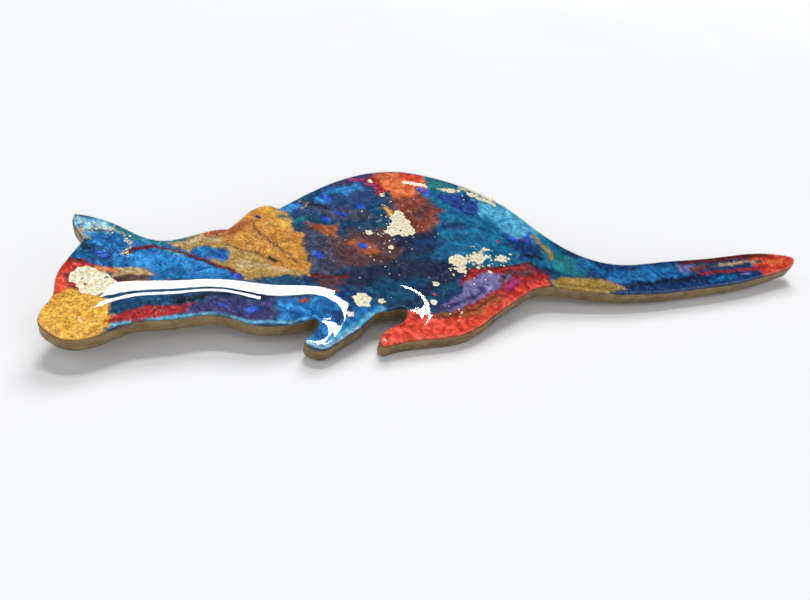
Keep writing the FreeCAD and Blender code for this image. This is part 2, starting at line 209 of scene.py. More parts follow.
def loop_normals(loop):
    """Outward unit normals at the loop's points, in the plane of the face."""
    along = np.roll(loop, -1, axis=0) - np.roll(loop, 1, axis=0)
    out = np.column_stack([along[:, 1], -along[:, 0]])
    area = np.sum(loop[:, 0] * np.roll(loop[:, 1], -1) - np.roll(loop[:, 0], -1) * loop[:, 1])
    return out / np.linalg.norm(out, axis=1)[:, None] * (1 if area > 0 else -1)


def piece(name, vertices, polygons, material, body, replaced=(), smooth=True):
    """A mesh given in board millimetres, placed in the scene and riding on a CAD body."""
    mesh = bpy.data.meshes.new(name)
    mesh.from_pydata([board @ Vector(vertex) for vertex in vertices], [], polygons)
    mesh.materials.append(material)
    mesh.update()
    if smooth:
        mesh.polygons.foreach_set("use_smooth", [True] * len(mesh.polygons))
        mesh.set_sharp_from_angle(angle=SMOOTH_BELOW)
    obj = bpy.data.objects.new(name, mesh)
    bpy.context.scene.collection.objects.link(obj)
    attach(obj, body)
    if replaced:
        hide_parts(*replaced)
    return obj


def rough(points, scale, octaves=3, seed=0.0):
    """Fractal noise, about -1 to 1, at (u, v) points. The scale is the size of its features, in mm."""
    values = [
        noise.fractal(Vector((u / scale, v / scale, seed)), 0.6, 2.1, octaves) for u, v in points
    ]
    return np.array(values)


# ---------------------------------------------------------------- material helpers
def new_material(name):
    """An empty node material, its tree, and its output node."""
    material = bpy.data.materials.new(name)
    material.use_nodes = True
    tree = material.node_tree
    tree.nodes.clear()
    return material, tree, tree.nodes.new("ShaderNodeOutputMaterial")


def node(tree, kind, inputs=None, **settings):
    """Add a node, set its properties, and set or link its inputs."""
    made = tree.nodes.new(kind)
    for key, value in settings.items():
        setattr(made, key, value)
    for key, value in (inputs or {}).items():
        if isinstance(value, bpy.types.NodeSocket):
            tree.links.new(value, made.inputs[key])
        else:
            made.inputs[key].default_value = value
    return made


def millimetres(tree, stretch=(1, 1, 1)):
    """Place on the object, in millimetres, optionally stretched."""
    place = node(tree, "ShaderNodeTexCoord")
    scale = tuple(factor / METRES for factor in stretch)
    return node(
        tree, "ShaderNodeMapping", {"Vector": place.outputs["Object"], "Scale": scale}
    ).outputs["Vector"]


def math_node(tree, operation, first, second, third=None):
    """One math node."""
    inputs = {0: first, 1: second}
    if third is not None:
        inputs[2] = third
    return node(tree, "ShaderNodeMath", inputs, operation=operation).outputs[0]


def ramp(tree, value, low, high, start=0.0, end=1.0):
    """Map a value's range onto another, clamped."""
    return node(
        tree,
        "ShaderNodeMapRange",
        {"Value": value, "From Min": low, "From Max": high, "To Min": start, "To Max": end},
    ).outputs["Result"]


def blend(tree, factor, first, second, mode="MIX"):
    """Mix two colours."""
    made = node(tree, "ShaderNodeMix", data_type="RGBA", blend_type=mode)
    for socket, value in ((0, factor), (6, first), (7, second)):
        if isinstance(value, bpy.types.NodeSocket):
            tree.links.new(value, made.inputs[socket])
        else:
            made.inputs[socket].default_value = value
    return made.outputs[2]


def linear(red, green, blue):
    """A display colour, 0 to 255, as scene-linear RGBA."""
    def channel(value):
        value /= 255
        return value / 12.92 if value <= 0.04045 else ((value + 0.055) / 1.055) ** 2.4

    return (channel(red), channel(green), channel(blue), 1.0)


# ---------------------------------------------------------------- the poured colour
PIGMENTS = {
    "sea": (20, 108, 150),
    "cyan": (84, 172, 212),
    "ice": (165, 205, 222),
    "mica_blue": (26, 108, 172),
    "bright_blue": (44, 134, 205),
    "deep_blue": (24, 60, 112),
    "royal": (44, 86, 200),
    "navy": (28, 44, 74),
    "ink": (22, 30, 52),
    "slate": (62, 70, 94),
    "steel_blue": (36, 68, 116),
    "cobalt": (34, 72, 150),
    "ochre": (204, 142, 62),
    "petrol": (18, 70, 106),
    "teal_green": (34, 124, 134),
    "violet": (58, 58, 108),
    "lavender": (128, 122, 176),
    "plum": (88, 58, 64),
    "maroon": (138, 68, 58),
    "dark_red": (104, 30, 26),
    "crimson": (166, 42, 46),
    "vermilion": (226, 74, 56),
    "magenta": (176, 56, 120),
    "orange": (228, 116, 64),
    "rust": (170, 92, 52),
    "gold": (232, 172, 70),
    "old_gold": (148, 118, 46),
    "bright_gold": (232, 176, 72),
    "olive": (176, 142, 76),
    "sand": (196, 168, 124),
    "cream": (240, 220, 176),
    "bark": (110, 84, 60),
}

# Each pour: pigment, points (closed for a pool, open for a streak), how far it reaches past them, how
# soft its edge is, and how far its edge wanders. Later pours lie over earlier ones.
POOLS = [
    ("petrol", [(-62, 4), (-62, 30), (-10, 38), (14, 30), (62, 14), (62, 4), (20, 3),
                (-30, -2)], 0.0, 1.0, 0.0),
    # tail
    ("deep_blue", [(14, 17), (62, 15), (62, 3), (14, 4)], 0.0, 1.5, 0.8),
    # rump and flank
    ("sea", [(-6, 36), (4, 34), (16, 22), (15, 13), (8, 12.5), (-6, 13.5), (-8, 18),
             (-4, 24)], 0.0, 1.6, 1.4),
    ("cyan", [(3.5, 28.5), (8.5, 27.5), (13.5, 20), (12, 17), (8, 19.5), (5, 23)], 0.2, 1.2, 1.2),
    ("cobalt", [(-1.5, 29), (2, 29.6), (5, 27.5), (4.5, 24.4), (1.5, 24.5), (-0.5, 26.5)], 0.0, 0.8, 1.0),
    ("teal_green", [(-3, 33.5), (0, 32.6), (3, 30.6), (1.5, 29.8), (-2.5, 30.6)], 0.2, 0.8, 0.6),
    ("deep_blue", [(6.5, 19), (11, 19), (11.5, 14.4), (7, 14)], 0.0, 1.0, 1.0),
    # dark middle
    ("navy", [(-28, 14), (-20, 16), (-8, 15.5), (-4, 19), (-5, 24), (-2.5, 30), (-9, 24),
              (-24, 12)], 0.0, 1.5, 1.0),
    ("navy", [(-26, 13), (-12, 15), (0, 13), (-6, 11), (-13, 6), (-23, 8)], 0.3, 1.2, 1.0),
    ("petrol", [(-22, 10.5), (-14, 12), (-8, 11.5), (-12, 7.5), (-20, 6)], 0.0, 1.2, 1.0),
    ("slate", [(-27, 22.5), (-22, 24), (-19.5, 20), (-21, 14), (-26.5, 13.5)], 0.0, 0.8, 0.8),
    ("plum", [(-22.5, 21.5), (-13, 22), (-11, 17.5), (-13.5, 14.5), (-21, 15)], 0.0, 1.4, 1.2),
    ("maroon", [(-10, 29.5), (-4.5, 29.5), (-2.5, 25.5), (-4, 21.8), (-8, 21),
                (-9.5, 25)], 0.0, 1.2, 1.0),
    ("rust", [(-24.5, 23.6), (-21.5, 24.2), (-19.5, 23.2), (-20.5, 21.2), (-22.6, 21.4)], 0.0, 0.7, 0.7),
    # back
    ("petrol", [(-29.5, 27.5), (-20, 33.5), (-11.5, 33.5), (-11.8, 24), (-20, 23),
                (-27.5, 23)], 0.0, 0.8, 1.0),
    ("steel_blue", [(-27.5, 27), (-20, 32), (-13, 33), (-12.3, 28.6), (-17.5, 27.5), (-22, 25.5),
                    (-26, 24)], 0.0, 1.2, 1.1),
    ("slate", [(-22.5, 27), (-15, 27.5), (-13, 24.5), (-20, 23.5)], 0.0, 1.0, 1.0),
    ("violet", [(-19, 32.6), (-14, 34.7), (-9.5, 35.4), (-10, 33.8), (-14.5, 33.2),
                (-18.5, 31.6)], 0.0, 0.5, 0.4),
    ("crimson", [(-12.8, 33.6), (-9, 34.6), (-9.5, 31.5), (-11.8, 29.5)], 0.0, 0.7, 0.7),
    ("orange", [(-11, 34.6), (-3, 34.6), (-3.6, 31.6), (-6, 29.2), (-9.8, 28.8)], 0.0, 0.9, 0.9),
    ("vermilion", [(-6.5, 35.2), (-3.0, 34.4), (-4.4, 32.6), (-7, 33.2)], 0.0, 0.6, 0.4),
    # head
    ("mica_blue", [(-55.5, 22), (-49, 24.2), (-45, 20.8), (-36, 15.6), (-34, 13), (-50, 14),
                   (-56, 17)], 0.0, 0.7, 0.5),
    ("cyan", [(-56.6, 27.6), (-52, 25.8), (-50.5, 23.4), (-53, 22.5), (-55.6, 22.2)], 0.0, 0.6, 0.4),
    ("mica_blue", [(-54.3, 23.4), (-50, 23.4), (-48.6, 21), (-50.5, 18.6), (-54, 18.4)], 0.0, 0.5, 0.5),
    ("teal_green", [(-52, 25.9), (-45, 21.8), (-38.5, 23), (-39, 21.9), (-44.5, 20.3), (-48, 21.4),
                    (-51.5, 24.6)], 0.0, 0.4, 0.3),
    ("gold", [(-61, 6), (-58.8, 14.6), (-54.5, 14), (-51.2, 10.6), (-51.4, 7.2), (-54, 4),
              (-59, 4)], 0.0, 0.6, 0.5),
    ("crimson", [(-57, 18.2), (-54.4, 18), (-51.5, 16.4), (-49.6, 14.4), (-50, 13.2),
                 (-57, 13.4)], 0.0, 0.5, 0.4),
    ("vermilion", [(-59, 12.8), (-58.8, 17.4), (-56.6, 19.2), (-55.2, 18.2), (-57, 16.6),
                   (-57.2, 13)], 0.0, 0.6, 0.4),
    ("sand", [(-53.5, 17.3), (-47, 16.3), (-45.8, 15), (-50, 14.8), (-53, 15.5)], 0.0, 0.4, 0.4),
    ("plum", [(-51, 15), (-46.8, 15.2), (-47.2, 13.6), (-50.8, 13.2)], 0.0, 0.5, 0.4),
    # throat, belly and front leg
    ("petrol", [(-51.5, 12.8), (-36, 12.4), (-27, 11.4), (-30, 8.6), (-43, 8.8),
                (-51.8, 8.8)], 0.2, 0.7, 0.5),
    ("crimson", [(-52.6, 7.4), (-50, 9.3), (-46, 9.8), (-41.6, 10.1), (-42, 8.3), (-46, 7.9),
                 (-51, 6.6)], 0.0, 0.4, 0.4),
    ("violet", [(-43, 10), (-27, 9.8), (-26.5, 4.6), (-43, 5.8)], 0.0, 0.9, 0.9),
    ("mica_blue", [(-31.5, 9.5), (-22, 9.5), (-16, 6), (-24, 2), (-29.5, 1.6), (-27, 4.5),
                   (-31.5, 5.6)], 0.0, 0.9, 0.8),
    # shoulder
    ("olive", [(-44.6, 20.6), (-39, 22.4), (-34, 20), (-25.5, 18.6), (-25.2, 13.6), (-36, 13.2),
               (-36.4, 15.6)], 0.0, 0.5, 0.6),
    ("ochre", [(-37.4, 20.6), (-36, 23.6), (-33, 26.8), (-29.8, 28.6), (-27.6, 27.6), (-27, 22.6),
               (-25, 21.2), (-25.8, 17.6), (-25, 14), (-29, 14.6), (-32, 18)], 0.0, 0.5, 1.0),
    # thigh and rear paw
    ("crimson", [(-4, 10.4), (-1.2, 13), (5, 12.6), (8, 13), (11, 10), (9, 8), (2, 4.5), (-6, 0.5),
                 (-8, 6)], 0.0, 0.5, 0.6),
    ("rust", [(-14, 5.2), (-9, 4.9), (-5.5, 5.2), (1, 7.4), (3, 5.6), (-4, 1.4),
              (-13, 1.4)], 0.0, 0.6, 0.7),
    ("vermilion", [(-19.4, -0.6), (-18.6, 2.8), (-13.6, 5.4), (-9, 4.2), (-3, 4), (5, 8.6), (10.6, 9.8),
                   (9, 6.5), (-4, -0.6)], 0.0, 0.8, 0.8),
    ("lavender", [(-9.4, 5.4), (-5.8, 8.4), (-2.6, 10.6), (0.4, 11.8), (3.0, 11.7), (2.6, 9.6),
                  (-1.2, 7.4), (-6, 5.2)], 0.0, 0.5, 0.6),
    # root of the tail
    ("olive", [(10.6, 9.2), (15, 10.2), (21, 9.2), (23, 6.6), (17, 5.6), (11, 7.2)], 0.0, 0.6, 0.7),
    ("teal_green", [(11.5, 15.5), (14, 15.5), (20, 12), (17, 10.2), (12.5, 11.2)], 0.0, 1.0, 0.8),
    # tail tip
    ("vermilion", [(50, 12.6), (61, 12.6), (61, 8), (51, 7.6)], 0.0, 1.4, 0.6),
]
STREAKS = [
    # head and neck
    ("bright_blue", [(-50, 18.2), (-44, 17.4), (-39, 15.6)], 0.9, 1.2, 0.8),
    ("bright_blue", [(-47, 21.0), (-45.5, 19.0)], 0.3, 0.8, 0.6),
    ("deep_blue", [(-52, 14.9), (-51.4, 18)], 0.3, 0.7, 0.5),
    ("ice", [(-55.9, 26.6), (-54.2, 25.2), (-52.4, 25.0)], 0.5, 0.7, 0.5),
    ("sea", [(-55.2, 21.4), (-54.6, 19.8), (-53.6, 18.9)], 0.5, 0.6, 0.3),
    ("dark_red", [(-54.0, 23.9), (-51.4, 23.7)], 0.15, 0.3, 0.3),
    ("dark_red", [(-49.6, 18.8), (-48.6, 19.9), (-46.0, 20.2), (-43, 19.0), (-40, 17.2), (-36.4, 15.4),
                  (-35.6, 14.2)], 0.28, 0.25, 0.3),
    ("ink", [(-45, 19.4), (-41, 17.6), (-38, 16.0)], 0.08, 0.3, 0.3),
    ("orange", [(-53.8, 16.6), (-52.2, 16.8), (-50.8, 16.0)], 0.35, 0.5, 0.4),
    ("bark", [(-49.8, 14.0), (-47.0, 14.2)], 0.3, 0.5, 0.4),
    ("dark_red", [(-56.6, 18.6), (-54.8, 18.2)], 0.35, 0.4, 0.3),
    ("crimson", [(-51.0, 13.2), (-48.5, 13.4), (-44.5, 13.8)], 0.2, 0.4, 0.3),
    ("cyan", [(-44.5, 19.2), (-42.5, 18.2)], 0.2, 0.6, 0.4),
    ("sand", [(-55.2, 24.9), (-54.9, 23.4), (-54.6, 22.4)], 0.2, 0.5, 0.6),
    ("cream", [(-53.4, 24.7), (-51.6, 24.3), (-49.9, 23.0), (-48.9, 21.6),
               (-48.9, 20.6)], 0.08, 0.25, 0.5),
    ("cream", [(-48.9, 20.2), (-49.6, 19.4), (-50.2, 18.7)], 0.08, 0.25, 0.4),
    ("deep_blue", [(-54.2, 20.6), (-53.2, 18.9), (-51.6, 18.6)], 0.5, 1.0, 0.6),
    ("navy", [(-54.8, 22.0), (-54.6, 20.4)], 0.2, 0.6, 0.4),
    ("royal", [(-53.4, 19.4), (-52.4, 19.0)], 0.35, 0.4, 0.4),
    ("royal", [(-36.4, 14.3), (-35.3, 13.6)], 0.4, 0.5, 0.4),
    # painted reflection: a thin pale cyan line along the throat's lower rim, for the bright surroundings seen
    # through the thin resin edge
    ("cyan", [(-51.8, 7.0), (-46, 7.6), (-40, 7.9), (-35, 5.9), (-30, 5.4), (-27, 6.0)], 0.22, 0.35, 0.2),
    ("ink", [(-43.5, 10.8), (-38, 10.9), (-32, 10.2)], 0.4, 0.8, 0.6),
    ("royal", [(-35.4, 8.1), (-34.2, 8.3)], 0.5, 0.5, 0.4),
    ("royal", [(-38.5, 9.2), (-37.8, 8.8)], 0.2, 0.5, 0.4),
    ("rust", [(-28.0, 8.9), (-26.9, 9.0)], 0.25, 0.4, 0.3),
    ("bright_blue", [(-30.5, 8.6), (-27.5, 6.6), (-25.5, 5.0)], 0.4, 0.9, 0.8),
    # painted reflection: pale cyan along the front leg's lower rim, for the bright surroundings seen through
    # the thin resin edge
    ("cyan", [(-28.2, 2.0), (-26.4, 1.4), (-22.5, 3.2), (-19.8, 5.2), (-17.0, 6.4)], 0.45, 0.7, 0.3),
    # painted reflection: a thin pale line along the front paw's lower rim
    ("ice", [(-28.5, 2.0), (-26.6, 0.9), (-24.0, 2.0), (-21, 3.8)], 0.14, 0.25, 0.15),
    ("deep_blue", [(-23.5, 5.4), (-20.5, 8.0), (-22.5, 10.4)], 0.8, 1.0, 0.6),
    # shoulder
    ("mica_blue", [(-40.2, 18.9), (-38.8, 18.6), (-37.2, 18.1)], 1.15, 0.4, 0.5),
    ("royal", [(-37.6, 17.8), (-36.9, 17.6)], 0.3, 0.3, 0.3),
    ("sand", [(-43.6, 20.4), (-40.5, 21.3), (-37.2, 21.0)], 0.45, 0.5, 0.5),
    ("crimson", [(-39.4, 22.6), (-37.4, 22.6), (-35.6, 23.4)], 0.35, 0.4, 0.3),
    ("rust", [(-35.4, 21.2), (-33.2, 24.4), (-31.6, 22.0), (-29.6, 19.4)], 0.1, 0.8, 0.8),
    ("rust", [(-39.0, 22.3), (-36.0, 22.2), (-33.4, 24.2)], 0.5, 0.7, 0.6),
    ("bark", [(-32.6, 24.6), (-31.2, 21.2), (-29.0, 18.6), (-27.4, 16.2)], 0.1, 0.35, 0.5),
    ("bark", [(-36.4, 19.8), (-33.4, 18.8), (-31.0, 17.2)], 0.1, 0.4, 0.6),
    ("ink", [(-31.0, 17.4), (-30.2, 16.6)], 0.3, 0.5, 0.4),
    ("sand", [(-34.8, 16.0), (-31.6, 15.0), (-28.4, 14.8)], 0.4, 0.9, 0.8),
    ("bright_gold", [(-30.6, 27.6), (-28.6, 26.4), (-28.0, 23.4)], 0.7, 0.9, 0.6),
    ("bright_gold", [(-34.6, 24.8), (-33.4, 25.8)], 0.4, 0.8, 0.5),
    ("violet", [(-31.5, 25.5), (-31.2, 25.3)], 0.3, 0.25, 0.1),
    # back
    ("bright_blue", [(-27.8, 26.8), (-25.0, 27.9)], 0.8, 1.1, 0.9),
    ("bright_blue", [(-21.5, 29.2), (-18.6, 30.6), (-14.6, 31.4)], 0.7, 1.1, 0.9),
    ("royal", [(-20.8, 29.6), (-19.8, 29.0)], 0.55, 0.35, 0.4),
    ("royal", [(-19.4, 25.9), (-18.6, 25.5)], 0.5, 0.35, 0.4),
    ("royal", [(-21.6, 24.6), (-21.0, 24.4)], 0.4, 0.35, 0.4),
    ("royal", [(-15.6, 27.2), (-15.0, 27.0)], 0.5, 0.3, 0.3),
    ("royal", [(-24.0, 17.4), (-23.9, 17.2)], 0.7, 0.35, 0.5),
    ("rust", [(-18.4, 19.6), (-16.0, 18.0)], 1.0, 1.4, 0.9),
    ("royal", [(-17.0, 18.7), (-16.9, 18.5)], 0.6, 0.3, 0.2),
    ("ink", [(-24.6, 28.6), (-22.6, 27.4), (-20.4, 27.6)], 0.4, 0.8, 0.8),
    ("sand", [(-25.0, 29.0), (-23.2, 28.0), (-24.8, 26.6)], 0.1, 0.5, 0.7),
    ("teal_green", [(-28.4, 25.2), (-26.6, 24.0), (-24.4, 24.2)], 0.3, 0.7, 0.6),
    ("magenta", [(-15.4, 33.6), (-13.2, 33.0), (-11.6, 31.8)], 0.35, 0.5, 0.5),
    ("magenta", [(-6.4, 34.8), (-4.4, 34.6)], 0.1, 0.4, 0.2),
    ("gold", [(-11.3, 26.6), (-10.8, 25.4)], 0.55, 0.5, 0.3),
    ("plum", [(-6.6, 24.8), (-3.8, 27.6)], 0.7, 1.2, 0.9),
    ("dark_red", [(-25.2, 13.4), (-23.2, 12.9), (-20.6, 12.8)], 0.4, 0.35, 0.4),
    ("plum", [(-24.6, 11.6), (-21.4, 12.2)], 0.7, 0.9, 0.7),
    ("crimson", [(-24.0, 10.6), (-22.6, 10.2)], 0.15, 0.5, 0.4),
    ("ice", [(-13.4, 23.6), (-12.9, 23.8)], 0.12, 0.2, 0.2),
    ("deep_blue", [(-8.4, 18.4), (-4.6, 18.8)], 0.9, 1.4, 0.9),
    ("deep_blue", [(-2.4, 22.2), (0.4, 21.6)], 0.7, 1.0, 0.9),
    ("royal", [(-4.6, 30.8), (-3.4, 30.0)], 0.6, 0.4, 0.4),
    ("vermilion", [(-4.3, 30.6), (-3.8, 30.2)], 0.15, 0.2, 0.3),
    ("cream", [(2.8, 31.2), (5.0, 29.9), (7.4, 27.8)], 0.3, 0.3, 0.3),
    ("royal", [(7.6, 19.4), (9.8, 18.0), (11.0, 19.2)], 0.5, 0.8, 0.8),
    ("ink", [(8.2, 14.8), (10.6, 14.4)], 0.3, 0.7, 0.5),
    ("vermilion", [(5.0, 18.3), (5.1, 18.1)], 0.18, 0.12, 0.0),
    ("vermilion", [(-8.8, 8.4), (-8.7, 8.3)], 0.2, 0.12, 0.0),
    ("crimson", [(9.3, 18.4), (9.5, 18.2)], 0.2, 0.2, 0.1),
    ("olive", [(11.8, 18.6), (12.4, 16.6), (13.0, 14.2)], 0.45, 0.6, 0.7),
    # thigh
    ("dark_red", [(-3.4, 11.0), (-1.4, 13.0), (1.6, 12.7), (5.2, 12.9), (8.4, 13.4),
                  (10.6, 11.0)], 0.22, 0.35, 0.3),
    ("violet", [(-9.2, 5.6), (-5.4, 6.4), (-1.2, 8.6)], 0.4, 0.7, 0.6),
    ("deep_blue", [(-11.0, 6.0), (-7.6, 7.2), (-4.2, 9.6)], 0.4, 0.6, 0.6),
    ("plum", [(2.4, 10.6), (5.2, 11.4), (8.2, 11.4)], 0.5, 0.8, 0.7),
    ("magenta", [(3.2, 8.4), (4.4, 9.4), (5.2, 9.9)], 0.45, 0.6, 0.5),
    ("lavender", [(3.4, 10.2), (4.2, 10.9)], 0.3, 0.4, 0.4),
    ("dark_red", [(-12.6, 4.6), (-8.0, 4.2), (-3.4, 5.2), (0.2, 7.0)], 0.15, 0.5, 0.4),
    ("vermilion", [(6.4, 8.6), (9.6, 9.6)], 0.5, 0.7, 0.4),
    # tail
    ("old_gold", [(12.0, 8.2), (16.0, 7.8), (20.4, 7.0)], 0.35, 0.8, 0.6),
    ("mica_blue", [(17.0, 12.6), (22, 10.4), (30, 9.8), (38, 10.0)], 0.8, 1.4, 0.9),
    ("bright_blue", [(21, 9.4), (26, 8.6), (33, 8.6)], 0.3, 1.1, 0.9),
    ("lavender", [(35.2, 10.4), (38.4, 10.0)], 0.6, 0.9, 0.8),
    ("ink", [(24, 7.6), (32, 7.8), (39, 8.6)], 0.25, 0.7, 0.6),
    ("dark_red", [(36.5, 11.4), (44, 11.9), (54.5, 12.2)], 0.45, 0.6, 0.3),
    ("maroon", [(37.5, 9.6), (40.5, 10.4)], 0.5, 0.7, 0.6),
    ("slate", [(40.0, 10.8), (43.0, 10.4)], 0.5, 0.6, 0.5),
    ("sand", [(43.6, 10.6), (47.6, 10.6), (52.0, 10.9)], 0.4, 0.6, 0.5),
    ("petrol", [(48.9, 10.4), (49.8, 10.4)], 0.35, 0.4, 0.3),
    ("petrol", [(51.6, 10.8), (52.6, 10.9)], 0.25, 0.4, 0.3),
    ("crimson", [(38.5, 8.8), (43.0, 8.9), (49.0, 9.1), (52.5, 9.6)], 0.3, 0.5, 0.4),
    ("mica_blue", [(39.6, 7.1), (43.0, 7.7), (45.4, 7.9)], 0.4, 0.4, 0.3),
    ("lavender", [(46.4, 8.0), (48.2, 8.2)], 0.2, 0.3, 0.2),
    ("orange", [(54.0, 10.4), (57.6, 10.6)], 0.4, 0.9, 0.4),
]


def to_segment(points, start, end):
    """Distance from points to one straight segment."""
    span = np.subtract(end, start)
    share = np.clip((points - start) @ span / max(span @ span, 1e-9), 0, 1)
    return np.linalg.norm(points - start - share[:, None] * span, axis=1)


def reach_of(points, path, closed):
    """Distance from points to a path; inside a closed path it counts below zero."""
    ends = path[1:] + path[:1] if closed else path[1:]
    nearest = np.min([to_segment(points, start, end) for start, end in zip(path, ends)], axis=0)
    return np.where(inside(points, np.array(path)), -nearest, nearest) if closed else nearest


GLITTER = {
    "gold": 1.0,
    "old_gold": 1.0,
    "bright_gold": 1.0,
    "ochre": 0.8,
    "olive": 1.0,
    "sand": 0.9,
    "bark": 0.8,
    "orange": 0.6,
    "rust": 0.6,
    "cream": 0.5,
}


def painted_wrinkle_light(points, colours, amount):
    """Painted light and shade of wrinkles that the flat layer doesn't have: crests run pale as if lit,
    hollows run deep and saturated as if shaded.
    """
    swirl = np.column_stack([rough(points, 4.0, 2, 3.3), rough(points, 4.0, 2, 8.1)])
    flow = points + 1.2 * swirl
    creases = 1 - 3.2 * np.abs(rough(flow * (1.0, 1.5), 2.2, 3, 5.7))
    lumps = rough(flow, 0.9, 3, 7.9)
    # painted light and shade: the colour is lightened on the wrinkles' crests and deepened in their hollows
    wrinkle_light_and_shade = np.clip(0.32 * creases + 0.85 * lumps, -1.2, 1.2)[:, None] * amount[:, None]
    strongest = colours.max(1, keepdims=True) + 1e-4
    return strongest * np.exp(0.8 * wrinkle_light_and_shade) * (colours / strongest) ** (1 - 0.3 * wrinkle_light_and_shade)


def poured_colour(points):
    """Colour at each point, and glitter as a fourth value: pools first, then streaks."""
    wander = np.column_stack([
        rough(points, 3.2, 4, 1.7) + 0.45 * rough(points, 0.8, 3, 4.2),
        rough(points, 3.2, 4, 9.3) + 0.45 * rough(points, 0.8, 3, 6.6),
    ])
    colours = np.zeros((len(points), 3))
    glitter = np.zeros(len(points))
    for closed, pours in ((True, POOLS), (False, STREAKS)):
        for pigment, path, reach, softness, drift in pours:
            far = reach_of(points + wander * drift, path, closed) - reach
            share = np.clip(0.5 - far / softness, 0, 1)
            share = share * share * (3 - 2 * share)
            colours += (np.array(linear(*PIGMENTS[pigment])[:3]) - colours) * share[:, None]
            seam = share * (1 - share) * 4 * max(0.0, 0.9 - softness)
            colours *= 1 - 0.5 * seam[:, None]
            glitter += (GLITTER.get(pigment, 0.25) - glitter) * share
    # painted light and shade of wrinkles, strongest where there is least glitter
    colours = painted_wrinkle_light(points, colours, 0.9 - 0.5 * glitter)
    return np.column_stack([colours, glitter])


# ---------------------------------------------------------------- materials
def tilted_normal(tree, cells, amount):
    """The surface normal, leaned a little differently in each coloured cell."""
    lean = node(tree, "ShaderNodeVectorMath", {0: cells, 1: (0.5, 0.5, 0.5)}, operation="SUBTRACT")
    lean = node(tree, "ShaderNodeVectorMath", {0: lean.outputs[0], "Scale": amount}, operation="SCALE")
    straight = node(tree, "ShaderNodeNewGeometry").outputs["Normal"]
    total = node(tree, "ShaderNodeVectorMath", {0: straight, 1: lean.outputs[0]}, operation="ADD")
    return node(tree, "ShaderNodeVectorMath", {0: total.outputs[0]}, operation="NORMALIZE").outputs[0]


def mica_material():
    """Mica and glitter in pigmented resin: grainy, with flakes that catch the light, and pale gold flecks
    that are partly the glitter's own colour and partly a painted glint.
    """
    material, tree, output = new_material("mica_colour")
    place = millimetres(tree)
    painted = node(tree, "ShaderNodeAttribute", attribute_name="pigment").outputs
    grains = node(tree, "ShaderNodeTexVoronoi", {"Vector": place, "Scale": 4.6})
    flakes = node(tree, "ShaderNodeTexVoronoi", {"Vector": place, "Scale": 5.0})
    drift = node(tree, "ShaderNodeTexNoise", {"Vector": place, "Scale": 0.25, "Detail": 3.0})
    grain_shade = node(tree, "ShaderNodeSeparateColor", {0: grains.outputs["Color"]}).outputs[0]
    flake_shade = node(tree, "ShaderNodeSeparateColor", {0: flakes.outputs["Color"]}).outputs[1]
    spread = ramp(tree, painted["Alpha"], 0.2, 1.0, 0.3, 0.34)
    value = math_node(tree, "MULTIPLY_ADD", ramp(tree, grain_shade, 0.0, 1.0, -1.0, 1.0), spread, 1.0)
    shaded = node(
        tree, "ShaderNodeVectorMath", {0: painted["Color"], "Scale": value}, operation="SCALE"
    ).outputs[0]
    # pale gold flecks: partly the glitter's own colour, partly a painted glint put into the base colour
    scatter = ramp(tree, drift.outputs["Fac"], 0.45, 0.65, 0.03, 1.0)
    fleck_and_painted_glint = math_node(tree, "MULTIPLY", ramp(tree, flake_shade, 0.9, 0.97), scatter)
    fleck_and_painted_glint = math_node(tree, "MULTIPLY", fleck_and_painted_glint, ramp(tree, painted["Alpha"], 0.2, 1.0, 0.15, 1.0))
    pale = blend(tree, 0.55, painted["Color"], (1.0, 0.86, 0.6, 1.0))
    shader = node(
        tree,
        "ShaderNodeBsdfPrincipled",
        {
            "Base Color": blend(tree, fleck_and_painted_glint, shaded, pale),
            "Metallic": 0.2,
            "Specular IOR Level": 0.12,
            "Roughness": ramp(tree, flake_shade, 0.2, 0.95, 0.6, 0.35),
            "Normal": tilted_normal(tree, grains.outputs["Color"], 0.16),
        },
    )
    tree.links.new(shader.outputs[0], output.inputs["Surface"])
    return material


def resin_material():
    """Clear cured resin: light passes straight through, and the surface mirrors more at a glance."""
    material, tree, output = new_material("clear_resin")
    clear = node(tree, "ShaderNodeBsdfTransparent", {"Color": (1.0, 1.0, 1.0, 1.0)})
    gloss = node(tree, "ShaderNodeBsdfGlossy", {"Roughness": 0.02})
    glance = node(tree, "ShaderNodeLayerWeight", {"Blend": 0.5}).outputs["Facing"]
    mirror = math_node(tree, "MULTIPLY_ADD", math_node(tree, "POWER", glance, 5.0), 0.95, 0.045)
    mixed = node(tree, "ShaderNodeMixShader", {0: mirror, 1: clear.outputs[0], 2: gloss.outputs[0]})
    tree.links.new(mixed.outputs[0], output.inputs["Surface"])
    return material


